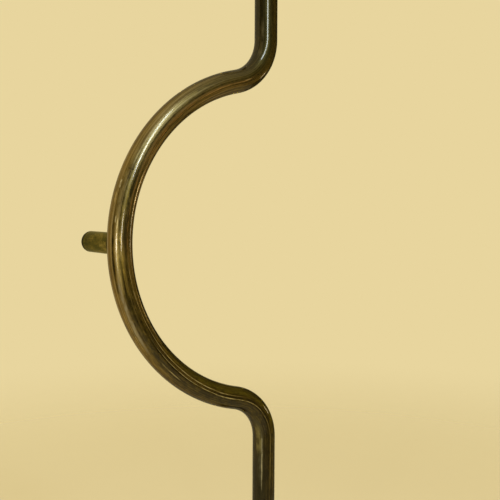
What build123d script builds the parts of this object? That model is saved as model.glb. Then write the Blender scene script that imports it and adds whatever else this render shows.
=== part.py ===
"""Tubular pull handle: one bent brass tube on three coped posts with concealed fixings.

The mounting face is the plane y = 0 and the handle stands off it towards -Y. The straight runs and the
centre of the half ring lie on x = 0, and z = 0 is half way up. Along every post, "s" is the distance
out from the mounting face. Millimetres.
"""
import os
from math import asin, degrees, radians, sqrt, tan

from build123d import *

# The bent tube
tube_diameter = 25.0
tube_wall = 2.0
overall_length = 900.0
ring_radius = 175.0
bend_radius = 50.0
standoff = 70.0
end_overhang = 100.0

# The plugs that close the tube's ends
cap_rim_thickness = 3.0
cap_spigot_length = 12.0
cap_edge_radius = 1.2
cap_spigot_chamfer = 0.8
cap_dimple_diameter = 4.0

# The threaded bush brazed into the back of the tube at each post
boss_diameter = 12.0
boss_projection = 4.0
boss_length_inside = 10.0
boss_chamfer = 0.5

# The post and the screw that draws it on to the tube
post_diameter = 22.0
post_base_chamfer = 0.6
screw_diameter = 6.0
screw_head_diameter = 10.0
screw_head_height = 6.0
screw_key_width = 5.0
screw_key_depth = 3.0
screw_edge = 0.5

# The steel spigot that a bolt from behind the mounting face holds, and the post slides over
spigot_diameter = 14.0
spigot_floor = 2.0
spigot_chamfer = 0.8
bolt_tapping_diameter = 6.8
bolt_thread_depth = 18.0
bolt_mouth_chamfer = 0.4
drill_point_angle = 118.0

# The grub screw that locks the post on its spigot
grub_diameter = 5.0
grub_setback = 11.0
grub_recess = 0.2
grub_key_width = 2.5
grub_key_depth = 2.2
grub_point_diameter = 2.6
groove_depth = 1.2

# The washer between the post and the mounting face
washer_thickness = 1.0
washer_edge = 0.2

# Clearances
braze_clearance = 0.05
plug_clearance = 0.05
thread_clearance = 0.05
slide_clearance = 0.1
contact_clearance = 0.05
head_clearance = 0.3
shank_clearance = 0.2
groove_side_clearance = 0.3
end_gap = 2.0

# Derived sizes of the tube's line: a straight, a reverse bend, the half ring, a bend, a straight
tube_radius = tube_diameter / 2
tube_bore_radius = tube_radius - tube_wall
tube_end = overall_length / 2 - cap_rim_thickness
bend_height = sqrt((ring_radius + bend_radius) ** 2 - bend_radius**2)
bend_angle = 90 - degrees(asin(bend_radius / (ring_radius + bend_radius)))
ring_angle = 2 * bend_angle

# Derived places along a post, all measured out from the mounting face
bolt_hole_tip = bolt_thread_depth + bolt_tapping_diameter / 2 / tan(radians(drill_point_angle / 2))
spigot_length = bolt_hole_tip + spigot_floor
tube_back = standoff - tube_radius
post_base = washer_thickness
socket_end = spigot_length + end_gap
head_top = socket_end + end_gap
head_seat = head_top + screw_head_height
boss_base = tube_back - boss_projection
boss_tip = tube_back + boss_length_inside
counterbore_floor = boss_base - contact_clearance
screw_tip = boss_tip - screw_edge
groove_radius = spigot_diameter / 2 - groove_depth

# Where the posts stand on the mounting face, as x and z
fixing_centres = overall_length - 2 * end_overhang
posts = {
    "top": (0.0, fixing_centres / 2),
    "middle": (-ring_radius, 0.0),
    "bottom": (0.0, -fixing_centres / 2),
}


def save(piece, name):
    """Name a finished piece and write its file."""
    piece.label = name
    export_step(piece, f"parts/{name}.step")


def axis_plane(x, z):
    """The plane through a post's axis, with local x as the radius and local y as the distance s."""
    return Plane(origin=(x, 0, z), x_dir=(1, 0, 0), z_dir=(0, 0, -1))


def axis_line(x, z):
    """A post's axis, pointing out from the mounting face."""
    return Axis((x, 0, z), (0, -1, 0))


def swept_tube(outer_radius, bore_radius=0.0):
    """A round section carried down the handle's line, solid or bored."""
    with BuildPart() as tube:
        with BuildLine(Plane.XZ.offset(standoff)):
            upper_run = Line((0, tube_end), (0, bend_height))
            upper_bend = JernArc(upper_run @ 1, upper_run % 1, bend_radius, -bend_angle)
            half_ring = JernArc(upper_bend @ 1, upper_bend % 1, ring_radius, ring_angle)
            lower_bend = JernArc(half_ring @ 1, half_ring % 1, bend_radius, -bend_angle)
            Line(lower_bend @ 1, (0, -tube_end))
        with BuildSketch(Plane(origin=(0, -standoff, tube_end), z_dir=(0, 0, -1))):
            Circle(outer_radius)
            if bore_radius:
                Circle(bore_radius, mode=Mode.SUBTRACT)
        sweep()
    return tube.part


def end_cap(direction):
    """A turned plug: a rim as wide as the tube and a spigot inside it. direction is +1 up, -1 down."""
    spigot_radius = tube_bore_radius - plug_clearance
    with BuildPart() as cap:
        rim_plane = Plane(origin=(0, -standoff, direction * tube_end), z_dir=(0, 0, direction))
        outward = Axis(rim_plane.origin, rim_plane.z_dir)
        with BuildSketch(rim_plane):
            Circle(tube_radius)
        extrude(amount=cap_rim_thickness)
        fillet(cap.edges().filter_by(GeomType.CIRCLE).sort_by(outward)[-1], cap_edge_radius)
        with BuildSketch(rim_plane):
            Circle(spigot_radius)
        extrude(amount=-cap_spigot_length)
        chamfer(cap.edges().filter_by(GeomType.CIRCLE).sort_by(outward)[0], cap_spigot_chamfer)
        # The centre mark that the lathe leaves in the hidden end
        with Locations(rim_plane.offset(-cap_spigot_length)):
            Cone(cap_dimple_diameter / 2, 0, cap_dimple_diameter / 2,
                 align=(Align.CENTER, Align.CENTER, Align.MIN), mode=Mode.SUBTRACT)
    return cap.part


def tube_boss(x, z):
    """A threaded bush: brazed through the tube's back wall, with a nose that centres the post."""
    radius = boss_diameter / 2
    bore = screw_diameter / 2 + thread_clearance
    with BuildPart() as boss:
        with BuildSketch(axis_plane(x, z)):
            with BuildLine():
                Polyline(
                    (bore + boss_chamfer, boss_base), (radius - boss_chamfer, boss_base),
                    (radius, boss_base + boss_chamfer), (radius, boss_tip - boss_chamfer),
                    (radius - boss_chamfer, boss_tip), (bore + boss_chamfer, boss_tip),
                    (bore, boss_tip - boss_chamfer), (bore, boss_base + boss_chamfer), close=True,
                )
            make_face()
        revolve(axis=axis_line(x, z))
    return boss.part


def post(x, z, tube_envelope):
    """A round post, bored in steps from its foot and coped at its nose to saddle the tube."""
    radius = post_diameter / 2
    socket = spigot_diameter / 2 + slide_clearance
    head_bore = screw_head_diameter / 2 + head_clearance
    shank_bore = screw_diameter / 2 + shank_clearance
    boss_bore = boss_diameter / 2 + slide_clearance
    with BuildPart() as body:
        with BuildSketch(axis_plane(x, z)):
            with BuildLine():
                Polyline(
                    (socket, post_base), (radius - post_base_chamfer, post_base),
                    (radius, post_base + post_base_chamfer), (radius, standoff),
                    (boss_bore, standoff), (boss_bore, counterbore_floor),
                    (shank_bore, counterbore_floor), (shank_bore, head_seat),
                    (head_bore, head_seat), (head_bore, socket_end), (socket, socket_end), close=True,
                )
            make_face()
        revolve(axis=axis_line(x, z))
        add(tube_envelope, mode=Mode.SUBTRACT)
        with BuildSketch(Plane.XY.offset(z - radius)):
            with Locations((x, -grub_setback)):
                Circle(grub_diameter / 2 + thread_clearance)
        extrude(amount=radius, mode=Mode.SUBTRACT)
    return body.part


def post_screw(x, z):
    """A socket cap screw: its head seats inside the post and its shank runs into the boss."""
    shank = screw_diameter / 2
    head = screw_head_diameter / 2
    with BuildPart() as screw:
        with BuildSketch(axis_plane(x, z)):
            with BuildLine():
                Polyline(
                    (0, head_top), (head - screw_edge, head_top), (head, head_top + screw_edge),
                    (head, head_seat), (shank, head_seat), (shank, screw_tip - screw_edge),
                    (shank - screw_edge, screw_tip), (0, screw_tip), close=True,
                )
            make_face()
        revolve(axis=axis_line(x, z))
        with BuildSketch(Plane.XZ.offset(head_top)):
            with Locations((x, z)):
                RegularPolygon(screw_key_width / 2, 6, major_radius=False)
        extrude(amount=screw_key_depth, mode=Mode.SUBTRACT)
    return screw.part


def spigot(x, z):
    """A turned steel stub, tapped from its foot and grooved for the grub screw."""
    radius = spigot_diameter / 2
    hole = bolt_tapping_diameter / 2
    groove_half = grub_diameter / 2 + groove_side_clearance
    with BuildPart() as stub:
        with BuildSketch(axis_plane(x, z)):
            with BuildLine():
                Polyline(
                    (hole + bolt_mouth_chamfer, 0), (radius, 0), (radius, grub_setback - groove_half),
                    (groove_radius, grub_setback - groove_half), (groove_radius, grub_setback + groove_half),
                    (radius, grub_setback + groove_half), (radius, spigot_length - spigot_chamfer),
                    (radius - spigot_chamfer, spigot_length), (0, spigot_length), (0, bolt_hole_tip),
                    (hole, bolt_thread_depth), (hole, bolt_mouth_chamfer), close=True,
                )
            make_face()
        revolve(axis=axis_line(x, z))
    return stub.part


def grub_screw(x, z):
    """A headless screw driven up through the underside of the post, with its point in the groove."""
    radius = grub_diameter / 2
    point = grub_point_diameter / 2
    key_face = z - post_diameter / 2 + grub_recess
    point_face = z - groove_radius - contact_clearance
    with BuildPart() as grub:
        with BuildSketch(Plane(origin=(x, -grub_setback, 0), x_dir=(1, 0, 0), z_dir=(0, -1, 0))):
            with BuildLine():
                Polyline(
                    (0, key_face), (radius, key_face), (radius, point_face - radius + point),
                    (point, point_face), (0, point_face), close=True,
                )
            make_face()
        revolve(axis=Axis((x, -grub_setback, 0), (0, 0, 1)))
        with BuildSketch(Plane.XY.offset(key_face)):
            with Locations((x, -grub_setback)):
                RegularPolygon(grub_key_width / 2, 6, major_radius=False)
        extrude(amount=grub_key_depth, mode=Mode.SUBTRACT)
    return grub.part


def base_washer(x, z):
    """A thin dark washer, as wide as the post, that keeps the brass off the mounting face."""
    inner = spigot_diameter / 2 + slide_clearance
    outer = post_diameter / 2
    with BuildPart() as washer:
        with BuildSketch(axis_plane(x, z)):
            with BuildLine():
                Polyline(
                    (inner, 0), (outer - washer_edge, 0), (outer, washer_edge),
                    (outer, washer_thickness - washer_edge), (outer - washer_edge, washer_thickness),
                    (inner, washer_thickness), close=True,
                )
            make_face()
        revolve(axis=axis_line(x, z))
    return washer.part


os.makedirs("parts", exist_ok=True)

tube_blank = swept_tube(tube_radius, tube_bore_radius)
with BuildPart() as bent_tube:
    add(tube_blank)
    # One hole through the back wall at each post, for its boss
    with BuildSketch(Plane.XZ.offset(standoff)):
        with Locations(*posts.values()):
            Circle(boss_diameter / 2 + braze_clearance)
    extrude(amount=-tube_diameter, mode=Mode.SUBTRACT)
save(bent_tube.part, "bent_tube")

save(end_cap(+1), "top_end_cap")
save(end_cap(-1), "bottom_end_cap")

saddle_envelope = swept_tube(tube_radius + contact_clearance)
for place, (x, z) in posts.items():
    save(tube_boss(x, z), f"{place}_tube_boss")
    save(post(x, z, saddle_envelope), f"{place}_post")
    save(post_screw(x, z), f"{place}_post_screw")
    save(spigot(x, z), f"{place}_spigot")
    save(grub_screw(x, z), f"{place}_grub_screw")
    save(base_washer(x, z), f"{place}_base_washer")
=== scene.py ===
"""The looks of a tubular pull handle: a bent tube of patinated brass on three posts with concealed fixings.

Metres, in the model's own frame: the mounting face is y = 0, the handle stands off it towards -Y, z is up.
"""
import math

import bmesh
import bpy
from mathutils import Matrix, Quaternion, Vector


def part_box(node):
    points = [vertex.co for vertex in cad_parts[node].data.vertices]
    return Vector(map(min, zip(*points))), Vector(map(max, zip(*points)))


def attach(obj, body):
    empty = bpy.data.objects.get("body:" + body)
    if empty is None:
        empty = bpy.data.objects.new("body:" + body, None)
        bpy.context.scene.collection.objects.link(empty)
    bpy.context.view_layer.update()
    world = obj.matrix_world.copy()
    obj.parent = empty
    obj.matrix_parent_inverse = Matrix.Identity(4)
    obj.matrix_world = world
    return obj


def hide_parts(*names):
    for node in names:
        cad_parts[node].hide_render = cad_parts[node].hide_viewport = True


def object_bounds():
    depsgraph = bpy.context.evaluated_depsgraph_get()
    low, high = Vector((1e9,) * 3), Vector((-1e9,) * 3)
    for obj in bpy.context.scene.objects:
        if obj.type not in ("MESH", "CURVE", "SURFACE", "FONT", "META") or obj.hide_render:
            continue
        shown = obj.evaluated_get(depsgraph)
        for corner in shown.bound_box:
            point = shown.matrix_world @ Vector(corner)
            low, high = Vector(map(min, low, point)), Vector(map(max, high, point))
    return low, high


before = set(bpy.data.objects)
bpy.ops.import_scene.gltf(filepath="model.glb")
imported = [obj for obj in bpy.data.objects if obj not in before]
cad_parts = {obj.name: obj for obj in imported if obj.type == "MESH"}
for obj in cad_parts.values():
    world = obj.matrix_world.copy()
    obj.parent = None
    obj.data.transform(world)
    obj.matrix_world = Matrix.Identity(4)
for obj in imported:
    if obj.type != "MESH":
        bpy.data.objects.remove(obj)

cad_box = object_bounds()


# The bent tube
# One length of drawn brass tube, bent on a former as straight run, reverse bend, half ring, reverse
# bend and straight run. A hole through its back wall takes the threaded bush at each post.

MM = 0.001
tube_low, tube_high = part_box("bent_tube")
tube_radius = (tube_high.y - tube_low.y) / 2
tube_wall = 2 * MM
tube_depth = (tube_high.y + tube_low.y) / 2
tube_end = tube_high.z
ring_radius = -tube_low.x - tube_radius
bend_radius = 50 * MM
arc_step = 2.5 * MM
run_step = 4 * MM
facets_around = 64

post_places = {}
for post in ("top", "middle", "bottom"):
    post_low, post_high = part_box(f"{post}_post")
    post_places[post] = ((post_low.x + post_high.x) / 2, (post_low.z + post_high.z) / 2)
post_radius = (post_high.x - post_low.x) / 2
boss_low, boss_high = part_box("top_tube_boss")
boss_radius = (boss_high.x - boss_low.x) / 2
braze_clearance = 0.05 * MM


def add_node(tree, kind, links=None, stops=(), **settings):
    """Add one node: settings are its properties, stops the (position, colour or grey) stops of a ramp, and
    links sets its inputs, by name or number, to values or to sockets.

    A Mix node takes values at 2 and 3 and gives one at 0; it takes colours at 6 and 7 and gives one at 2."""
    made = tree.nodes.new(kind)
    for setting, value in settings.items():
        setattr(made, setting, value)
    for i, (position, colour) in enumerate(stops):
        elements = made.color_ramp.elements
        stop = elements[i] if i < 2 else elements.new(1.0)
        stop.position = position
        stop.color = linear(colour) if isinstance(colour, str) else (colour, colour, colour, 1.0)
    for socket, value in (links or {}).items():
        if isinstance(value, bpy.types.NodeSocket):
            tree.links.new(value, made.inputs[socket])
        else:
            made.inputs[socket].default_value = value
    return made


def linear(hex_colour):
    """An sRGB hex colour as linear red, green, blue and alpha."""
    parts = [int(hex_colour[i:i + 2], 16) / 255 for i in (1, 3, 5)]
    return [p / 12.92 if p <= 0.04045 else ((p + 0.055) / 1.055) ** 2.4 for p in parts] + [1.0]


def arc_points(centre, radius, start, turn):
    """Points round an arc in the handle's plane, as x and z, without its last point."""
    count = round(abs(turn) * radius / arc_step)
    angles = [start + turn * i / count for i in range(count)]
    return [(centre[0] + radius * math.cos(a), centre[1] + radius * math.sin(a)) for a in angles]


def run_points(top, bottom):
    """Points down a straight run, as x and z, without its last point."""
    count = round((top - bottom) / run_step)
    return [(0.0, top + (bottom - top) * i / count) for i in range(count)]


bend_height = math.sqrt((ring_radius + bend_radius) ** 2 - bend_radius**2)
bend_turn = math.acos(bend_radius / (ring_radius + bend_radius))
line = run_points(tube_end, bend_height)
line += arc_points((-bend_radius, bend_height), bend_radius, 0, -bend_turn)
line += arc_points((0, 0), ring_radius, math.pi - bend_turn, 2 * bend_turn)
line += arc_points((-bend_radius, -bend_height), bend_radius, bend_turn, -bend_turn)
line += run_points(-bend_height, -tube_end) + [(0.0, -tube_end)]
line_length = 2 * (tube_end - bend_height) + 2 * bend_turn * (ring_radius + bend_radius)


def patinated_brass(name, place, streak_mm, blotch_mm, skin_stops, streak_colour, rim_colour, wax):
    """Brass under a brown-olive patina, waxed: dark, with crisp lights, mottled and streaked along the work.

    place adds a coordinate in metres whose X runs along the piece. streak_mm and blotch_mm give the length
    and the width of the marks, skin_stops the colours of the mottling, rim_colour the tint of the light at
    grazing edges, and wax how much of the gloss is wax. Returns the material and the sockets of its colour,
    its streaks and its mottling.
    """
    material = bpy.data.materials.new(name)
    material.use_nodes = True
    tree = material.node_tree
    shader = tree.nodes["Principled BSDF"]
    shader.inputs["Metallic"].default_value = 1.0
    shader.inputs["Specular Tint"].default_value = linear(rim_colour)
    shader.inputs["Coat Weight"].default_value = wax
    shader.inputs["Coat Roughness"].default_value = 0.11
    along = place(tree)
    specks_per_blotch = (8, 6)
    speck_mm = [size / count for size, count in zip(blotch_mm, specks_per_blotch)]
    patterns = []
    for length_mm, width_mm in (streak_mm, blotch_mm, speck_mm):
        stretched = add_node(tree, "ShaderNodeMapping", {
            "Vector": along, "Scale": (1 / (length_mm * MM), 1 / (width_mm * MM), 1 / (width_mm * MM))})
        noise = add_node(tree, "ShaderNodeTexNoise", {
            "Vector": stretched.outputs["Vector"], "Scale": 1.0, "Detail": 3.0, "Roughness": 0.6})
        patterns.append(noise.outputs["Fac"])
    streaks, blotches, specks = patterns
    mottling = add_node(tree, "ShaderNodeMix", {"Factor": 0.45, 2: blotches, 3: specks}).outputs[0]
    skin = add_node(tree, "ShaderNodeValToRGB", {"Fac": mottling}, stops=skin_stops)
    drawn = add_node(tree, "ShaderNodeMapRange", {
        "Value": streaks, "From Min": 0.50, "From Max": 0.66, "To Max": 0.8})
    streaked = add_node(tree, "ShaderNodeMix", {
        "Factor": drawn.outputs["Result"], 6: skin.outputs["Color"], 7: linear(streak_colour)},
        data_type="RGBA").outputs[2]
    gloss = add_node(tree, "ShaderNodeMapRange", {
        "Value": mottling, "From Min": 0.35, "From Max": 0.65, "To Min": 0.34, "To Max": 0.48})
    tree.links.new(gloss.outputs["Result"], shader.inputs["Roughness"])
    tree.links.new(streaked, shader.inputs["Base Color"])
    return material, streaked, streaks, mottling


def along_tube(tree):
    """The tube's own line: the distance along it, the place across it and the place out from the face."""
    return add_node(tree, "ShaderNodeAttribute", attribute_name="tube_line").outputs["Vector"]


def tube_patina_and_painted_light():
    """The tube's patina. Hands have rubbed the upper half of the ring paler, with coppery lines on its inner
    side.
    The gold streaked band on its outer side is a painted reflection, the lower half is flecked with dark
    spots and painted a lighter olive on its inner side as fill light, and the straight runs are nearly
    black.
    Many of the single marks are painted highlights, glints and reflections.

    Drawing leaves lines a few hundredths of a millimetre wide: here they are 1.5 mm, so that they show."""
    drawn_line_mm = (150, 1.5)
    mottle_mm = (30, 7)
    fleck_mm = (9, 3.5)
    material, patina_and_painted_light, streaks, mottling = patinated_brass(
        "drawn_brass_patina_and_painted_light", along_tube, drawn_line_mm, mottle_mm,
        [(0.34, "#211C07"), (0.45, "#3A310D"), (0.55, "#524614"), (0.68, "#6E5F26")],
        streak_colour="#766638", rim_colour="#76766E", wax=0.55)
    tree = material.node_tree
    shader = tree.nodes["Principled BSDF"]
    place = add_node(tree, "ShaderNodeSeparateXYZ", {"Vector": along_tube(tree)})
    share_along = add_node(tree, "ShaderNodeMath", {
        0: place.outputs["X"], 1: line_length}, operation="DIVIDE")
    angle = add_node(tree, "ShaderNodeMath", {
        0: place.outputs["Y"], 1: place.outputs["Z"]}, operation="ARCTAN2")
    share_around = add_node(tree, "ShaderNodeMapRange", {
        "Value": angle.outputs["Value"], "From Min": -math.pi, "From Max": math.pi})

    # What breaks up the zones and the marks: the mottling, the drawn lines, and small flecks
    patchy = add_node(tree, "ShaderNodeMapRange", {
        "Value": mottling, "From Min": 0.36, "From Max": 0.62, "To Min": 0.5, "To Max": 1.0})
    hairlines = add_node(tree, "ShaderNodeMapRange", {"Value": streaks, "From Min": 0.52, "From Max": 0.62})
    laid = add_node(tree, "ShaderNodeMapping", {
        "Vector": along_tube(tree),
        "Scale": (1 / (fleck_mm[0] * MM), 1 / (fleck_mm[1] * MM), 1 / (fleck_mm[1] * MM))})
    flecks = add_node(tree, "ShaderNodeTexNoise", {
        "Vector": laid.outputs["Vector"], "Scale": 1.0, "Detail": 4.0, "Roughness": 0.6})
    flecked = add_node(tree, "ShaderNodeMapRange", {
        "Value": flecks.outputs["Fac"], "From Min": 0.46, "From Max": 0.56})
    dashed = add_node(tree, "ShaderNodeMapRange", {
        "Value": flecks.outputs["Fac"], "From Min": 0.38, "From Max": 0.58, "To Min": 0.25, "To Max": 1.0})
    rubbed_skin = add_node(tree, "ShaderNodeValToRGB", {"Fac": streaks}, stops=[
        (0.34, "#4C4328"), (0.50, "#786C4A"), (0.68, "#A0967A")])
    gold_reflection_paint = add_node(tree, "ShaderNodeValToRGB", {"Fac": streaks}, stops=[
        (0.40, "#7A6228"), (0.51, "#937B3C"), (0.64, "#AE9C72")])

    # Zones of the patina: strength along the tube, strength around it from the back over the outer side,
    # the front and the inner side to the back again, the pattern that breaks it up, and the colour
    zones = (
        # Dark on the straight runs, and less so on the lower half, from the back to the front; on the runs'
        # outer side it is also a painted dark reflection
        ([(0.24, 1.0), (0.28, 0.6), (0.32, 0.1), (0.54, 0.0), (0.62, 0.45), (0.76, 0.55), (0.82, 1.0)],
         [(0.26, 1.0), (0.40, 1.0), (0.47, 0.8), (0.52, 0.4), (0.58, 0.15), (1.0, 0.3)],
         patchy, linear("#201F12")),
        # Rubbed paler on the upper half, most on the outer side, with a dip on the inner side of the front
        # highlight that is a painted dark reflection
        ([(0.26, 0.0), (0.30, 0.45), (0.35, 0.7), (0.41, 1.0), (0.46, 0.65), (0.52, 0.25), (0.66, 0.0)],
         [(0.10, 0.1), (0.24, 0.75), (0.40, 1.0), (0.43, 0.5), (0.49, 0.35), (0.56, 0.8), (0.70, 0.4)],
         patchy, rubbed_skin.outputs["Color"]),
        # A gold streaked band on the outer side: a painted reflection of a gold surface
        ([(0.32, 0.0), (0.41, 0.8), (0.58, 1.0), (0.65, 0.45), (0.76, 0.0)],
         [(0.13, 0.0), (0.20, 1.0), (0.34, 1.0), (0.42, 0.0)],
         patchy, gold_reflection_paint.outputs["Color"]),
        # Coppery lines on the inner side
        ([(0.25, 0.0), (0.31, 0.55), (0.42, 1.0), (0.58, 0.5), (0.72, 0.3), (0.78, 0.0)],
         [(0.46, 0.0), (0.53, 0.9), (0.64, 1.0), (0.74, 0.2)],
         hairlines, linear("#987848")),
        # A lighter olive on the inner side of the lower half: painted fill light where the lamps leave it
        # dark
        ([(0.56, 0.0), (0.66, 0.9), (0.80, 0.9), (0.85, 0.0)],
         [(0.52, 0.0), (0.58, 1.0), (0.72, 1.0)],
         patchy, linear("#6E6622")),
        # Dark flecks on the lower half and the lower run, most at the front
        ([(0.50, 0.0), (0.58, 0.55), (0.78, 0.65), (0.86, 0.4)],
         [(0.10, 0.5), (0.32, 0.6), (0.45, 1.0), (0.54, 0.9), (0.62, 0.45), (0.80, 0.4)],
         flecked, linear("#1C170A")))
    for along_stops, around_stops, pattern, tone in zones:
        zone_along = add_node(tree, "ShaderNodeValToRGB", {
            "Fac": share_along.outputs["Value"]}, stops=along_stops)
        zone_around = add_node(tree, "ShaderNodeValToRGB", {
            "Fac": share_around.outputs["Result"]}, stops=around_stops)
        zone = add_node(tree, "ShaderNodeMath", {
            0: zone_along.outputs["Color"], 1: zone_around.outputs["Color"]}, operation="MULTIPLY")
        broken = add_node(tree, "ShaderNodeMath", {
            0: zone.outputs["Value"], 1: pattern.outputs["Result"]}, operation="MULTIPLY")
        patina_and_painted_light = add_node(tree, "ShaderNodeMix", {
            "Factor": broken.outputs["Value"], 6: patina_and_painted_light, 7: tone}, data_type="RGBA").outputs[2]

    # Single marks with soft edges, on lines that wander a little: place along the tube in mm and around it
    # in degrees from the front, minus towards the outer side, slope in degrees, half length and half width
    # in mm, and colour
    wander_reach = 0.8 * MM
    wander_length = 30 * MM
    around = add_node(tree, "ShaderNodeMath", {
        0: angle.outputs["Value"], 1: tube_radius}, operation="MULTIPLY")
    wander = add_node(tree, "ShaderNodeTexNoise", {
        "W": place.outputs["X"], "Scale": 1 / wander_length, "Detail": 1.0}, noise_dimensions="1D")
    wandered = add_node(tree, "ShaderNodeMath", {
        0: wander.outputs["Fac"], 1: wander_reach, 2: around.outputs["Value"]}, operation="MULTIPLY_ADD")
    spread = add_node(tree, "ShaderNodeCombineXYZ", {
        "X": place.outputs["X"], "Y": wandered.outputs["Value"]})
    marks = (
        # Spots and bands on the outer side and the front, round the apex of the ring
        # Painted light among them: the bright lines at 507, 511 and 566 mm are painted highlights, the grey
        # band at 600 mm a painted reflection of the floor, and the dark lines at 492 and 540 mm painted dark
        # reflections
        (487, -72, 0, 6.0, 1.0, "#B9A470"), (507, -51, 0, 4.0, 0.7, "#D8CDA0"),
        (511, -40, 0, 6.0, 0.5, "#C8BC8C"), (540, -59, 0, 48.0, 1.2, "#2C2814"),
        (566, -35, 0, 10.0, 0.6, "#C8BC8C"), (600, -46, 0, 46.0, 2.2, "#97907A"),
        (440, -37, 0, 16.0, 1.0, "#A89C6E"), (492, -6, 0, 46.0, 1.8, "#2A240E"),
        (467, -50, 0, 42.0, 2.2, "#9C8C5C"), (550, -35, 0, 40.0, 2.2, "#8C7C48"),
        (556, -12, 0, 30.0, 2.0, "#74622A"), (531, -23, 0, 16.0, 1.2, "#9A8850"),
        # A dark nick on the upper half, and a painted glint below it, where a dent catches a lamp
        (458, -38, 0, 1.2, 3.6, "#100C06"), (464, -35, 0, 5.5, 0.8, "#100C06"),
        (474, -62, 0, 4.6, 1.2, "#FFF8DC"),
        # Long lines on the inner side: coppery above; paler below, where they are painted highlights, with
        # bright spots on them that are painted glints, and at 480 mm a painted glint and a painted
        # reflection
        (315, 10, 1.4, 40.0, 0.5, "#C29C68"), (287, 5, 0, 5.0, 0.5, "#C0AA80"),
        (400, 16, 0.5, 55.0, 0.45, "#B08450"), (505, 10, 0, 45.0, 0.35, "#B08A58"),
        (585, 14, 1.2, 45.0, 0.4, "#CDBB92"), (695, 16, -0.3, 80.0, 0.45, "#E6DCB8"),
        (480, 28, 0, 26.0, 0.7, "#D8C394"), (480, 50, 0, 40.0, 1.0, "#C2A878"),
        (610, 36, 1.0, 36.0, 0.7, "#DDCBA0"), (725, 0, -0.2, 105.0, 0.45, "#D8CCA4"),
        (745, -2, 0, 14.0, 0.6, "#F0E6C4"), (742, 14, 0, 9.0, 0.5, "#EADFBC"),
        (672, -26, 0, 16.0, 0.6, "#A0946C"),
        # Painted highlights where the lower run starts, in soft grey patches and a line, and a painted grey
        # sheen where the upper run ends
        (842, -53, 0, 46.0, 4.0, "#4E4C3A"), (858, -45, 0, 36.0, 0.8, "#A09A7C"),
        (832, -62, 0, 22.0, 4.0, "#7C7448"), (850, 1, 0, 45.0, 0.6, "#8C8056"),
        (232, -54, 0, 26.0, 2.6, "#5C553C"))
    for along_mm, around_deg, slope_deg, half_length_mm, half_width_mm, mark_colour in marks:
        from_mark = add_node(tree, "ShaderNodeMapping", {
            "Vector": spread.outputs["Vector"],
            "Location": (along_mm * MM, math.radians(around_deg) * tube_radius + wander_reach / 2, 0),
            "Rotation": (0, 0, math.radians(slope_deg)),
            "Scale": (half_length_mm * MM, half_width_mm * MM, 1)}, vector_type="TEXTURE")
        squared = add_node(tree, "ShaderNodeVectorMath", {
            0: from_mark.outputs["Vector"], 1: from_mark.outputs["Vector"]}, operation="MULTIPLY")
        far = add_node(tree, "ShaderNodeVectorMath", {0: squared.outputs["Vector"]}, operation="LENGTH")
        inside = add_node(tree, "ShaderNodeMapRange", {
            "Value": far.outputs["Value"], "From Min": 1.0, "From Max": 0.2})
        mark_strength = add_node(tree, "ShaderNodeMath", {
            0: inside.outputs["Result"], 1: dashed.outputs["Result"]}, operation="MULTIPLY")
        patina_and_painted_light = add_node(tree, "ShaderNodeMix", {
            "Factor": mark_strength.outputs["Value"], 6: patina_and_painted_light, 7: linear(mark_colour)}, data_type="RGBA").outputs[2]

    # Grime on the back of the tube, round the nose of each post
    grime_reach = 5 * MM
    own = add_node(tree, "ShaderNodeTexCoord")
    for post_x, post_z in post_places.values():
        from_post = add_node(tree, "ShaderNodeVectorMath", {
            0: own.outputs["Object"], 1: (post_x, tube_depth + tube_radius, post_z)}, operation="DISTANCE")
        grime = add_node(tree, "ShaderNodeMapRange", {
            "Value": from_post.outputs["Value"], "From Min": post_radius + grime_reach,
            "From Max": post_radius, "To Max": 0.85}, interpolation_type="SMOOTHSTEP")
        patina_and_painted_light = add_node(tree, "ShaderNodeMix", {
            "Factor": grime.outputs["Result"], 6: patina_and_painted_light, 7: linear("#15110A")}, data_type="RGBA").outputs[2]
    tree.links.new(patina_and_painted_light, shader.inputs["Base Color"])

    # The drawn lines can be felt most on the lower half, which hands have not rubbed smooth
    line_depth = 0.05 * MM
    depth_along = add_node(tree, "ShaderNodeValToRGB", {"Fac": share_along.outputs["Value"]}, stops=[
        (0.22, 0.02), (0.34, 0.06), (0.52, 0.06), (0.58, 0.3), (0.74, 0.3), (0.82, 0.05)])
    drawn_lines = add_node(tree, "ShaderNodeBump", {
        "Height": streaks, "Strength": depth_along.outputs["Color"], "Distance": line_depth})
    tree.links.new(drawn_lines.outputs["Normal"], shader.inputs["Normal"])
    tree.links.new(drawn_lines.outputs["Normal"], shader.inputs["Coat Normal"])
    return material


path = bpy.data.curves.new("handle_line", "CURVE")
path.dimensions = "3D"
spline = path.splines.new("POLY")
spline.points.add(len(line) - 1)
for point, (x, z) in zip(spline.points, line):
    point.co = (x, tube_depth, z, 1)
bent_tube = bpy.data.objects.new("bent_tube_skin", path)
bpy.context.collection.objects.link(bent_tube)

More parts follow.
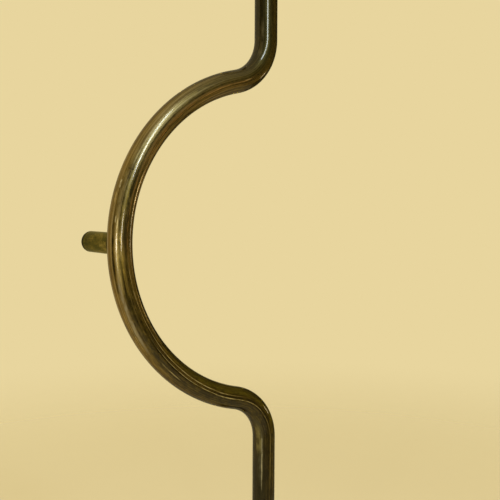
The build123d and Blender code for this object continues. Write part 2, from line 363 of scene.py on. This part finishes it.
# The section swept down the line. "tube_line" keeps each point's distance along the tube and its place
# across it, in the handle's plane and out from the mounting face, so that the finish can follow the bends.
sweep = bpy.data.node_groups.new("sweep_tube", "GeometryNodeTree")
sweep.interface.new_socket("Geometry", in_out="INPUT", socket_type="NodeSocketGeometry")
radius_input = sweep.interface.new_socket("Tube Radius", in_out="INPUT", socket_type="NodeSocketFloat")
facets_input = sweep.interface.new_socket("Facets Around", in_out="INPUT", socket_type="NodeSocketInt")
tube_finish_input = sweep.interface.new_socket("Finish", in_out="INPUT", socket_type="NodeSocketMaterial")
sweep.interface.new_socket("Geometry", in_out="OUTPUT", socket_type="NodeSocketGeometry")
sweep_entry = add_node(sweep, "NodeGroupInput")
position = add_node(sweep, "GeometryNodeInputPosition")
length = add_node(sweep, "GeometryNodeSplineParameter")
tangent = add_node(sweep, "GeometryNodeInputTangent")
keep = add_node(sweep, "GeometryNodeCaptureAttribute", {
    "Geometry": sweep_entry.outputs["Geometry"]}, domain="POINT")
for kind, name, source in (("VECTOR", "Centre", position.outputs["Position"]),
                           ("VECTOR", "Tangent", tangent.outputs["Tangent"]),
                           ("FLOAT", "Length", length.outputs["Length"])):
    keep.capture_items.new(kind, name)
    sweep.links.new(source, keep.inputs[name])
section = add_node(sweep, "GeometryNodeCurvePrimitiveCircle", {
    "Resolution": sweep_entry.outputs["Facets Around"],
    "Radius": sweep_entry.outputs["Tube Radius"]}, mode="RADIUS")
swept = add_node(sweep, "GeometryNodeCurveToMesh", {
    "Curve": keep.outputs["Geometry"], "Profile Curve": section.outputs["Curve"]})
offset = add_node(sweep, "ShaderNodeVectorMath", {
    0: position.outputs["Position"], 1: keep.outputs["Centre"]}, operation="SUBTRACT")
side = add_node(sweep, "ShaderNodeVectorMath", {
    0: keep.outputs["Tangent"], 1: (0.0, 1.0, 0.0)}, operation="CROSS_PRODUCT")
across = add_node(sweep, "ShaderNodeVectorMath", {
    0: offset.outputs["Vector"], 1: side.outputs["Vector"]}, operation="DOT_PRODUCT")
outward = add_node(sweep, "ShaderNodeVectorMath", {
    0: offset.outputs["Vector"], 1: (0.0, -1.0, 0.0)}, operation="DOT_PRODUCT")
laid_out = add_node(sweep, "ShaderNodeCombineXYZ", {
    "X": keep.outputs["Length"], "Y": across.outputs["Value"], "Z": outward.outputs["Value"]})
named = add_node(sweep, "GeometryNodeStoreNamedAttribute", {
    "Geometry": swept.outputs["Mesh"], "Name": "tube_line", "Value": laid_out.outputs["Vector"]},
    data_type="FLOAT_VECTOR", domain="POINT")
smooth = add_node(sweep, "GeometryNodeSetShadeSmooth", {"Geometry": named.outputs["Geometry"]})
tube_real = add_node(sweep, "GeometryNodeRealizeInstances", {"Geometry": smooth.outputs["Geometry"]})
tube_finished = add_node(sweep, "GeometryNodeSetMaterial", {
    "Geometry": tube_real.outputs["Geometry"], "Material": sweep_entry.outputs["Finish"]})
add_node(sweep, "NodeGroupOutput", {"Geometry": tube_finished.outputs["Geometry"]})
sweeper = bent_tube.modifiers.new("sweep", "NODES")
sweeper.node_group = sweep
sweeper[radius_input.identifier] = tube_radius
sweeper[facets_input.identifier] = facets_around
sweeper[tube_finish_input.identifier] = tube_patina_and_painted_light()


def plain_mesh(shaped, name):
    """The evaluated object as a new object with a plain mesh; the old one goes."""
    seen = bpy.context.evaluated_depsgraph_get()
    mesh = bpy.data.meshes.new_from_object(shaped.evaluated_get(seen), depsgraph=seen)
    bpy.data.objects.remove(shaped)
    mesh.name = name
    made = bpy.data.objects.new(name, mesh)
    bpy.context.collection.objects.link(made)
    return made


bent_tube = plain_mesh(bent_tube, "bent_tube_skin")
wall = bent_tube.modifiers.new("wall", "SOLIDIFY")
wall.thickness = tube_wall
wall.offset = -1

# The drill for the bush holes: one peg at each post, from the middle of the tube out through its back
drill_radius = boss_radius + braze_clearance
drill_facets = 48
drill_shape = bmesh.new()
for x, z in post_places.values():
    bmesh.ops.create_cone(
        drill_shape, cap_ends=True, segments=drill_facets, depth=2 * tube_radius,
        radius1=drill_radius, radius2=drill_radius,
        matrix=Matrix.Translation((x, tube_depth + tube_radius, z)) @ Matrix.Rotation(math.pi / 2, 4, "X"))
drill_mesh = bpy.data.meshes.new("bush_drill")
drill_shape.to_mesh(drill_mesh)
drill_shape.free()
drill = bpy.data.objects.new("bush_drill", drill_mesh)
bpy.context.collection.objects.link(drill)
holes = bent_tube.modifiers.new("bush_holes", "BOOLEAN")
holes.operation = "DIFFERENCE"
holes.solver = "MANIFOLD"
holes.object = drill
bent_tube = plain_mesh(bent_tube, "bent_tube_skin")
bpy.data.objects.remove(drill)
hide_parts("bent_tube")
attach(bent_tube, "root")


# The bushes in the tube
# Turned from brass bar and brazed into the holes in the tube's back wall. Their bore is tapped M6 for the
# screw that draws the post on to the tube, and their nose centres the post.

# A 60-degree metric thread: its depth and its flats in shares of the pitch, and the mesh rows to a pitch
thread_depth = 0.613
crest_flat, root_flat = 1 / 8, 1 / 4
rows_per_pitch = 6

screw_radius_mm = 3.0
screw_pitch_mm = 1.0
screw_root_mm = screw_radius_mm - thread_depth * screw_pitch_mm
thread_clearance_mm = 0.05
bush_radius_mm = boss_radius / MM
bush_base_mm, bush_tip_mm = -boss_high.y / MM, -boss_low.y / MM
bush_chamfer_mm = 0.5
bush_mouth_mm = screw_radius_mm + thread_clearance_mm + bush_chamfer_mm


def thread(crest, root, pitch, run_out=None):
    """The radius of a 60-degree thread as a function of the angle and the distance out, all in mm.

    The groove fades to nothing over the last turn before run_out."""
    def radius(angle, out):
        turn = (out / pitch - angle / (2 * math.pi)) % 1
        groove = min(max((abs(2 * turn - 1) - crest_flat) / (1 - crest_flat - root_flat), 0), 1)
        if run_out is not None:
            groove *= min(abs(out - run_out) / pitch, 1)
        return crest + (root - crest) * groove
    return radius


def thread_rows(radius, start, end, pitch):
    """Rows for a lathe from start to end, close enough together to show the thread."""
    count = round(abs(end - start) / pitch * rows_per_pitch)
    return [(radius, start + (end - start) * i / count) for i in range(count + 1)]


def lathe(name, rows, closed=False, facets=96):
    """A turned mesh about a post's axis: rows of (radius, distance out) in mm, a radius being a number or a
    function of the angle and the distance. closed joins the last row to the first."""
    shape = bmesh.new()
    loops = []
    for radius, out in rows:
        loop = []
        for i in range(facets if radius else 1):
            angle = 2 * math.pi * i / facets
            reach = radius(angle, out) if callable(radius) else radius
            corner = Vector((reach * math.cos(angle), -out, reach * math.sin(angle))) * MM
            loop.append(shape.verts.new(corner))
        loops.append(loop)
    if closed:
        loops.append(loops[0])
    for first, second in zip(loops, loops[1:]):
        for i in range(facets):
            j = (i + 1) % facets
            corners = (first[i % len(first)], first[j % len(first)],
                       second[j % len(second)], second[i % len(second)])
            shape.faces.new(list(dict.fromkeys(corners)))
    bmesh.ops.recalc_face_normals(shape, faces=shape.faces)
    mesh = bpy.data.meshes.new(name)
    shape.to_mesh(mesh)
    shape.free()
    mesh.shade_smooth()
    mesh.set_sharp_from_angle(angle=math.radians(35))
    return mesh


# One piece, set at each of the three posts
repeat = bpy.data.node_groups.new("at_each_post", "GeometryNodeTree")
repeat.interface.new_socket("Geometry", in_out="INPUT", socket_type="NodeSocketGeometry")
piece_input = repeat.interface.new_socket("Piece", in_out="INPUT", socket_type="NodeSocketObject")
piece_finish_input = repeat.interface.new_socket("Finish", in_out="INPUT", socket_type="NodeSocketMaterial")
repeat.interface.new_socket("Geometry", in_out="OUTPUT", socket_type="NodeSocketGeometry")
repeat_entry = add_node(repeat, "NodeGroupInput")
single = add_node(repeat, "GeometryNodeObjectInfo", {"Object": repeat_entry.outputs["Piece"]})
placed = add_node(repeat, "GeometryNodeInstanceOnPoints", {
    "Points": repeat_entry.outputs["Geometry"], "Instance": single.outputs["Geometry"]})
pieces_real = add_node(repeat, "GeometryNodeRealizeInstances", {"Geometry": placed.outputs["Instances"]})
pieces_finished = add_node(repeat, "GeometryNodeSetMaterial", {
    "Geometry": pieces_real.outputs["Geometry"], "Material": repeat_entry.outputs["Finish"]})
add_node(repeat, "NodeGroupOutput", {"Geometry": pieces_finished.outputs["Geometry"]})


def at_each_post(kind, mesh, material):
    """Set the mesh at each post as one piece that stands for that kind of node."""
    single_piece = bpy.data.objects.new(f"one_{kind}", mesh)
    places = bpy.data.meshes.new(f"{kind}_places")
    places.from_pydata([(x, 0, z) for x, z in post_places.values()], [], [])
    holder = bpy.data.objects.new(f"{kind}_places", places)
    bpy.context.collection.objects.link(holder)
    repeater = holder.modifiers.new("repeat", "NODES")
    repeater.node_group = repeat
    repeater[piece_input.identifier] = single_piece
    repeater[piece_finish_input.identifier] = material
    pieces = plain_mesh(holder, f"{kind}s_threaded")
    bpy.data.objects.remove(single_piece)
    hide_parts(*[f"{post}_{kind}" for post in post_places])
    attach(pieces, "root")


def out_from_face(tree):
    """Object coordinates turned so that X runs out from the mounting face, along a post."""
    own = add_node(tree, "ShaderNodeTexCoord")
    return add_node(tree, "ShaderNodeMapping", {
        "Vector": own.outputs["Object"], "Rotation": (0, 0, math.pi / 2)}).outputs["Vector"]


def turned_metal(name, place, colour, dull, roughness, mark_mm):
    """Bare or plated metal off the lathe: clouded between two colours, with tool marks across the axis.

    A fine cut leaves marks a few hundredths of a millimetre apart: mark_mm is coarser, so that they show."""
    cloud_mm = 4
    mark_length_mm = 40
    mark_depth = 0.03 * MM
    tarnish = 0.12
    material = bpy.data.materials.new(name)
    material.use_nodes = True
    tree = material.node_tree
    shader = tree.nodes["Principled BSDF"]
    shader.inputs["Metallic"].default_value = 1.0
    along = place(tree)
    clouds = add_node(tree, "ShaderNodeTexNoise", {
        "Vector": along, "Scale": 1 / (cloud_mm * MM), "Detail": 4.0})
    clouded = add_node(tree, "ShaderNodeValToRGB", {"Fac": clouds.outputs["Fac"]},
                       stops=[(0.35, dull), (0.62, colour)])
    tree.links.new(clouded.outputs["Color"], shader.inputs["Base Color"])
    dulled = add_node(tree, "ShaderNodeMapRange", {
        "Value": clouds.outputs["Fac"], "From Min": 0.35, "From Max": 0.65,
        "To Min": roughness + tarnish, "To Max": roughness})
    tree.links.new(dulled.outputs["Result"], shader.inputs["Roughness"])
    across = add_node(tree, "ShaderNodeMapping", {
        "Vector": along,
        "Scale": (1 / (mark_mm * MM), 1 / (mark_length_mm * MM), 1 / (mark_length_mm * MM))})
    tool_marks = add_node(tree, "ShaderNodeTexNoise", {"Vector": across.outputs["Vector"], "Scale": 1.0})
    cut = add_node(tree, "ShaderNodeBump", {
        "Height": tool_marks.outputs["Fac"], "Strength": 0.4, "Distance": mark_depth})
    tree.links.new(cut.outputs["Normal"], shader.inputs["Normal"])
    return material


tapped = thread(screw_radius_mm + thread_clearance_mm, screw_root_mm + thread_clearance_mm, screw_pitch_mm)
bush = lathe("tube_boss", [
    (bush_mouth_mm, bush_base_mm), (bush_radius_mm - bush_chamfer_mm, bush_base_mm),
    (bush_radius_mm, bush_base_mm + bush_chamfer_mm), (bush_radius_mm, bush_tip_mm - bush_chamfer_mm),
    (bush_radius_mm - bush_chamfer_mm, bush_tip_mm), (bush_mouth_mm, bush_tip_mm),
    *thread_rows(tapped, bush_tip_mm - bush_chamfer_mm, bush_base_mm + bush_chamfer_mm, screw_pitch_mm)],
    closed=True)
# Shut in, so the brass has stayed yellow and fairly bright
at_each_post("tube_boss", bush, turned_metal(
    "turned_bush_brass", out_from_face, "#B5924C", "#8A6A35", 0.28, 0.3))


# The plugs in the tube's ends
# Turned from brass bar, with a rim as wide as the tube and a spigot glued inside it. The lathe's fine
# rings show on the flat end; the patina is the tube's.

def finish_node(node, material):
    """Give a carried-over piece its finish."""
    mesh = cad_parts[node].data
    mesh.materials.clear()
    mesh.materials.append(material)


def up_the_tube(tree):
    """Object coordinates about the straight runs' axis, turned so that X runs along it."""
    own = add_node(tree, "ShaderNodeTexCoord")
    return add_node(tree, "ShaderNodeMapping", {
        "Vector": own.outputs["Object"], "Location": (0, 0, -tube_depth),
        "Rotation": (0, math.pi / 2, 0)}).outputs["Vector"]


plug_streak_mm, plug_mottle_mm = (30, 2.5), (12, 8)
plug_brass = patinated_brass(
    "patinated_turned_plug_brass", up_the_tube, plug_streak_mm, plug_mottle_mm,
    [(0.30, "#1E1909"), (0.46, "#2E2610"), (0.60, "#403417"), (0.76, "#554623")],
    streak_colour="#5C4B29", rim_colour="#76766E", wax=0.7)[0]

# A fine cut leaves rings about 0.1 mm apart: here they are five times as coarse, so that they show. The
# wave texture runs through 20 radians for each unit of its scale.
ring_pitch = 0.5 * MM
ring_depth = 0.03 * MM
wave_radians = 20
tree = plug_brass.node_tree
own = add_node(tree, "ShaderNodeTexCoord")
about_axis = add_node(tree, "ShaderNodeMapping", {
    "Vector": own.outputs["Object"], "Location": (0, -tube_depth, 0)})
rings = add_node(tree, "ShaderNodeTexWave", {
    "Vector": about_axis.outputs["Vector"], "Scale": 2 * math.pi / (wave_radians * ring_pitch),
    "Distortion": 0.6}, wave_type="RINGS", rings_direction="Z")
turned = add_node(tree, "ShaderNodeBump", {
    "Height": rings.outputs["Fac"], "Strength": 0.3, "Distance": ring_depth})
tree.links.new(turned.outputs["Normal"], tree.nodes["Principled BSDF"].inputs["Normal"])
for node in ("top_end_cap", "bottom_end_cap"):
    finish_node(node, plug_brass)


# The posts
# Turned from brass bar, bored in steps from the foot and coped at the nose to saddle the tube.
# Nothing rubs them, so the patina is mottled green-brown, and it is darker at the foot and at the saddle.

post_streak_mm, post_mottle_mm = (40, 3), (20, 8)
post_brass, post_colour, _, post_mottling = patinated_brass(
    "patinated_turned_post_brass", out_from_face, post_streak_mm, post_mottle_mm,
    [(0.42, "#33361A"), (0.48, "#4E4924"), (0.54, "#6A5F31"), (0.60, "#8E804C")],
    streak_colour="#655B36", rim_colour="#CDCAA4", wax=0.12)
tree = post_brass.node_tree
own = add_node(tree, "ShaderNodeTexCoord")
place = add_node(tree, "ShaderNodeSeparateXYZ", {"Vector": own.outputs["Object"]})

# Darker at the saddle, by the distance to the tube's middle line, which is the nearer of the ring and a run
saddle_darkening_from, saddle_darkening_full = 2.2 * MM, 0.2 * MM
flat = add_node(tree, "ShaderNodeVectorMath", {
    0: own.outputs["Object"], 1: (1.0, 0.0, 1.0)}, operation="MULTIPLY")
from_middle = add_node(tree, "ShaderNodeVectorMath", {0: flat.outputs["Vector"]}, operation="LENGTH")
from_ring = add_node(tree, "ShaderNodeMath", {
    0: from_middle.outputs["Value"], 1: ring_radius}, operation="SUBTRACT")
beside_ring = add_node(tree, "ShaderNodeMath", {0: from_ring.outputs["Value"]}, operation="ABSOLUTE")
beside_run = add_node(tree, "ShaderNodeMath", {0: place.outputs["X"]}, operation="ABSOLUTE")
beside_line = add_node(tree, "ShaderNodeMath", {
    0: beside_ring.outputs["Value"], 1: beside_run.outputs["Value"]}, operation="MINIMUM")
behind_line = add_node(tree, "ShaderNodeMath", {0: place.outputs["Y"], 1: tube_depth}, operation="SUBTRACT")
to_line = add_node(tree, "ShaderNodeCombineXYZ", {
    "X": beside_line.outputs["Value"], "Y": behind_line.outputs["Value"]})
to_tube = add_node(tree, "ShaderNodeVectorMath", {0: to_line.outputs["Vector"]}, operation="LENGTH")
saddle_darkening = add_node(tree, "ShaderNodeMapRange", {
    "Value": to_tube.outputs["Value"], "From Min": tube_radius + saddle_darkening_from,
    "From Max": tube_radius + saddle_darkening_full, "To Max": 0.9}, interpolation_type="SMOOTHSTEP")

# Darker at the foot, in a dark rim and a softer band above it
foot_reach = 26 * MM
from_face = add_node(tree, "ShaderNodeMath", {0: place.outputs["Y"], 1: -foot_reach}, operation="DIVIDE")
foot_darkening = add_node(tree, "ShaderNodeValToRGB", {"Fac": from_face.outputs["Value"]}, stops=[
    (0.16, 0.95), (0.23, 0.1), (0.31, 0.15), (0.42, 0.55), (0.70, 0.3), (1.0, 0.0)])
for patch in (saddle_darkening.outputs["Result"], foot_darkening.outputs["Color"]):
    post_colour = add_node(tree, "ShaderNodeMix", {
        "Factor": patch, 6: post_colour, 7: linear("#17150A")}, data_type="RGBA").outputs[2]
tree.links.new(post_colour, tree.nodes["Principled BSDF"].inputs["Base Color"])
pit_depth = 0.15 * MM
pitted = add_node(tree, "ShaderNodeBump", {"Height": post_mottling, "Strength": 0.2, "Distance": pit_depth})
tree.links.new(pitted.outputs["Normal"], tree.nodes["Principled BSDF"].inputs["Normal"])
for post in post_places:
    finish_node(f"{post}_post", post_brass)


# The screws inside the posts
# M6 socket cap screws of black-oxide steel, with a knurled head that seats in the post and a thread that
# runs into the bush in the tube.

head_top_mm, head_seat_mm, screw_tip_mm = 26.04, 32.04, 67.0
head_radius_mm = 5.0
head_edge_mm = 0.5
screw_key_mm = 5.0
screw_key_depth_mm = 3.0
thread_run_out_mm = 43.0
knurl_ridges = 32
knurl_depth_mm = 0.15


def hex_socket(key_mm):
    """The radius of a hexagonal hole for a key as a function of the angle, in mm."""
    def radius(angle, out):
        return key_mm / 2 / math.cos(angle % (math.pi / 3) - math.pi / 6)
    return radius


def knurl(angle, out):
    """The head's radius round its straight knurl."""
    return head_radius_mm - knurl_depth_mm * (1 - math.cos(knurl_ridges * angle)) / 2


rolled = thread(screw_radius_mm, screw_root_mm, screw_pitch_mm, thread_run_out_mm)
cap_screw = lathe("post_screw", [
    (0, head_top_mm + screw_key_depth_mm), (hex_socket(screw_key_mm), head_top_mm + screw_key_depth_mm),
    (hex_socket(screw_key_mm), head_top_mm), (head_radius_mm - head_edge_mm, head_top_mm),
    (knurl, head_top_mm + head_edge_mm), (knurl, head_seat_mm - head_edge_mm),
    (head_radius_mm - knurl_depth_mm, head_seat_mm), (screw_radius_mm, head_seat_mm),
    *thread_rows(rolled, thread_run_out_mm, screw_tip_mm - head_edge_mm, screw_pitch_mm),
    (screw_root_mm, screw_tip_mm), (0, screw_tip_mm)])
# Black oxide gives a dark, hardly coloured satin
at_each_post("post_screw", cap_screw, turned_metal(
    "black_oxide_screw_steel", out_from_face, "#2A2825", "#191816", 0.38, 0.4))


# The spigots in the posts' feet
# Turned steel stubs, zinc plated, that a bolt from behind pulls against the mounting face. They are tapped
# M8 from the foot and grooved for the grub screw that locks the post on.

spigot_low, spigot_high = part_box("top_spigot")
spigot_radius_mm = (spigot_high.x - spigot_low.x) / 2 / MM
spigot_length_mm = -spigot_low.y / MM
spigot_chamfer_mm = 0.8
groove_from_mm, groove_to_mm, groove_radius_mm = 8.2, 13.8, 5.8
tapping_radius_mm = 3.4
bolt_radius_mm = 4.0
bolt_pitch_mm = 1.25
bolt_depth_mm = 18.0
drill_tip_mm = 20.04
tap_end_mm = bolt_depth_mm - 2.0
mouth_chamfer_mm = 0.4
mouth_radius_mm = bolt_radius_mm + 0.1

bolt_thread = thread(tapping_radius_mm, bolt_radius_mm, bolt_pitch_mm, tap_end_mm)
stub = lathe("spigot", [
    (0, drill_tip_mm), (tapping_radius_mm, bolt_depth_mm),
    *thread_rows(bolt_thread, tap_end_mm, mouth_chamfer_mm, bolt_pitch_mm),
    (mouth_radius_mm, 0), (spigot_radius_mm, 0), (spigot_radius_mm, groove_from_mm),
    (groove_radius_mm, groove_from_mm), (groove_radius_mm, groove_to_mm), (spigot_radius_mm, groove_to_mm),
    (spigot_radius_mm, spigot_length_mm - spigot_chamfer_mm),
    (spigot_radius_mm - spigot_chamfer_mm, spigot_length_mm), (0, spigot_length_mm)])
# Zinc plate gives a pale, slightly warm grey that dulls in clouds
at_each_post("spigot", stub, turned_metal(
    "zinc_plated_spigot_steel", out_from_face, "#B9B6AD", "#8F8B80", 0.32, 0.25))


# The grub screws
# M5 headless screws of black-oxide steel, driven up through the underside of each post with a small hex
# key until their point sits in the spigot's groove.

grub_radius_mm = 2.5
grub_pitch_mm = 0.8
grub_root_mm = grub_radius_mm - thread_depth * grub_pitch_mm
grub_point_mm = 1.3
grub_key_mm = 2.5
grub_key_depth_mm = 2.2
grub_key_face_mm, grub_point_face_mm = 10.8, 5.85
grub_setback_mm = 11.0
grub_cone_mm = grub_point_face_mm + grub_radius_mm - grub_point_mm
grub_mouth_mm = 0.35
grub_key_floor_mm = grub_key_face_mm - grub_key_depth_mm

grub_thread = thread(grub_radius_mm, grub_root_mm, grub_pitch_mm)
grub = lathe("grub_screw", [
    (0, grub_point_face_mm), (grub_point_mm, grub_point_face_mm),
    *thread_rows(grub_thread, grub_cone_mm, grub_key_face_mm - grub_mouth_mm, grub_pitch_mm),
    (grub_root_mm, grub_key_face_mm), (hex_socket(grub_key_mm), grub_key_face_mm),
    (hex_socket(grub_key_mm), grub_key_floor_mm), (0, grub_key_floor_mm)])
grub.transform(Matrix.Translation((0, -grub_setback_mm * MM, 0)) @ Matrix.Rotation(math.pi / 2, 4, "X"))
at_each_post("grub_screw", grub, turned_metal(
    "black_oxide_grub_steel", up_the_tube, "#2A2825", "#191816", 0.38, 0.4))


# The washers under the posts
# Punched from thin dark vulcanised fibre, as wide as the post, and pinched between its foot and the
# mounting face, which they keep the brass from marking.

# Vulcanised fibre is matt and nearly black, with paler fibres pressed into it, drawn coarse enough to show
fibre_size = 0.8 * MM
fibre_depth = 0.05 * MM
fibre = bpy.data.materials.new("dark_vulcanised_fibre")
fibre.use_nodes = True
tree = fibre.node_tree
shader = tree.nodes["Principled BSDF"]
shader.inputs["Roughness"].default_value = 0.72
own = add_node(tree, "ShaderNodeTexCoord")
fibres = add_node(tree, "ShaderNodeTexNoise", {
    "Vector": own.outputs["Object"], "Scale": 1 / fibre_size, "Detail": 3.0})
fibre_colour = add_node(tree, "ShaderNodeValToRGB", {"Fac": fibres.outputs["Fac"]},
                        stops=[(0.40, "#15110B"), (0.66, "#2B2318")])
tree.links.new(fibre_colour.outputs["Color"], shader.inputs["Base Color"])
pressed = add_node(tree, "ShaderNodeBump", {
    "Height": fibres.outputs["Fac"], "Strength": 0.5, "Distance": fibre_depth})
tree.links.new(pressed.outputs["Normal"], shader.inputs["Normal"])
for post in post_places:
    finish_node(f"{post}_base_washer", fibre)


# The floor and the studio
# A plain pale floor just under the handle's lower end, fading into a plain pale surround, and a dim card
# round the front that keeps the metal dark between the lamps, with a paler panel on the right that lightens
# the ring's inner side.

floor_reach = 1.6
fade_from = 0.4
floor_strength = 0.55
floor_height = cad_box[0].z
floor_corners = [(x * floor_reach, y * floor_reach, floor_height)
                 for x, y in ((-1, -1), (1, -1), (1, 1), (-1, 1))]
floor_mesh = bpy.data.meshes.new("floor")
floor_mesh.from_pydata(floor_corners, [], [(0, 1, 2, 3)])
floor = bpy.data.objects.new("floor", floor_mesh)
bpy.context.collection.objects.link(floor)
pale = bpy.data.materials.new("pale_floor")
pale.use_nodes = True
tree = pale.node_tree
shader = tree.nodes["Principled BSDF"]
floor_place = add_node(tree, "ShaderNodeTexCoord")
floor_flat = add_node(tree, "ShaderNodeVectorMath", {
    0: floor_place.outputs["Object"], 1: (1.0, 1.0, 0.0)}, operation="MULTIPLY")
floor_distance = add_node(tree, "ShaderNodeVectorMath", {
    0: floor_flat.outputs["Vector"]}, operation="LENGTH")
floor_fade = add_node(tree, "ShaderNodeMapRange", {
    "Value": floor_distance.outputs["Value"], "From Min": fade_from, "From Max": floor_reach,
    "To Min": floor_strength, "To Max": 0.0}, interpolation_type="SMOOTHSTEP")
tree.links.new(floor_fade.outputs["Result"], shader.inputs["Alpha"])
shader.inputs["Base Color"].default_value = linear("#F1E8CE")
shader.inputs["Roughness"].default_value = 0.9
floor_mesh.materials.append(pale)

world = bpy.data.worlds.new("studio")
bpy.context.scene.world = world
world.use_nodes = True
world.node_tree.nodes["Background"].inputs["Color"].default_value = linear("#E8D59E")

card_radius = 2.4
card_heights = (-1.2, 2.2)
card_from, card_to = math.radians(-100), math.radians(135)
pale_from, pale_to = math.radians(28), math.radians(75)
card_steps = 24
card_mesh = bpy.data.meshes.new("dim_card")
card_corners = []
for i in range(card_steps + 1):
    turn = card_from + (card_to - card_from) * i / card_steps
    for height in card_heights:
        card_corners.append((card_radius * math.sin(turn), -card_radius * math.cos(turn), height))
card_panels = [(2 * i, 2 * i + 2, 2 * i + 3, 2 * i + 1) for i in range(card_steps)]
card_mesh.from_pydata(card_corners, [], card_panels)
card = bpy.data.objects.new("dim_card", card_mesh)
card.visible_camera = False
bpy.context.collection.objects.link(card)
for name, colour in (("grey_felt", "#868059"), ("pale_felt", "#C6BB88")):
    felt = bpy.data.materials.new(name)
    felt.use_nodes = True
    shader = felt.node_tree.nodes["Principled BSDF"]
    shader.inputs["Base Color"].default_value = linear(colour)
    shader.inputs["Roughness"].default_value = 1.0
    card_mesh.materials.append(felt)
for i, panel in enumerate(card_mesh.polygons):
    turn = card_from + (card_to - card_from) * (i + 0.5) / card_steps
    panel.material_index = 1 if pale_from < turn < pale_to else 0


def softbox(name, at, aim, size, radiance, colour="#FFFFFF"):
    """A flat rectangular lamp that looks as bright as radiance, hidden from the camera itself."""
    lamp = bpy.data.lights.new(name, "AREA")
    lamp.shape = "RECTANGLE"
    lamp.size, lamp.size_y = size
    lamp.energy = radiance * math.pi * size[0] * size[1]
    lamp.color = linear(colour)[:3]
    box = bpy.data.objects.new(name, lamp)
    box.location = at
    box.rotation_mode = "QUATERNION"
    box.rotation_quaternion = (Vector(aim) - Vector(at)).to_track_quat("-Z", "Y")
    box.visible_camera = False
    bpy.context.collection.objects.link(box)


# Each lamp stands where one of the lights on the tube comes from
softbox("front_strip", (-0.25, -0.82, 0.64), (-0.10, -0.07, 0.64), (0.11, 0.62), 31, "#E3EFF3")
softbox("front_middle", (-0.22, -0.82, 0.30), (-0.175, -0.07, 0.15), (0.05, 0.12), 30, "#DFECFB")
softbox("front_low", (-0.30, -0.82, 0.02), (-0.175, -0.07, 0.02), (0.06, 0.16), 34, "#FFF4DA")
softbox("left_strip", (-1.55, -1.05, -0.05), (-0.175, -0.07, 0.0), (0.18, 0.24), 38, "#FFF6E2")
softbox("left_low", (-1.5, -0.90, -0.22), (-0.175, -0.07, -0.1), (0.10, 0.40), 10)
softbox("right_box", (1.2, -0.26, -0.12), (0.0, -0.07, 0.0), (0.13, 0.14), 12, "#FFE6B4")

view = bpy.context.scene.view_settings
view.view_transform = "Standard"

# The camera, where the photograph was taken from: left of the handle, level with it, looking right
camera_place = Vector((-0.5011, -0.7663, 0.0358))
camera_yaw = math.radians(34.65)
camera_pitch = math.radians(-3.09)
camera_roll = math.radians(0.26)
camera_data = bpy.data.cameras.new("camera")
camera_data.lens = 55.8
camera_data.sensor_width = 36.0
camera = bpy.data.objects.new("camera", camera_data)
camera.location = camera_place
ahead = Vector((math.sin(camera_yaw) * math.cos(camera_pitch),
                math.cos(camera_yaw) * math.cos(camera_pitch), math.sin(camera_pitch)))
camera.rotation_mode = "QUATERNION"
camera.rotation_quaternion = ahead.to_track_quat("-Z", "Y") @ Quaternion((0, 0, 1), camera_roll)
bpy.context.collection.objects.link(camera)
bpy.context.scene.camera = camera
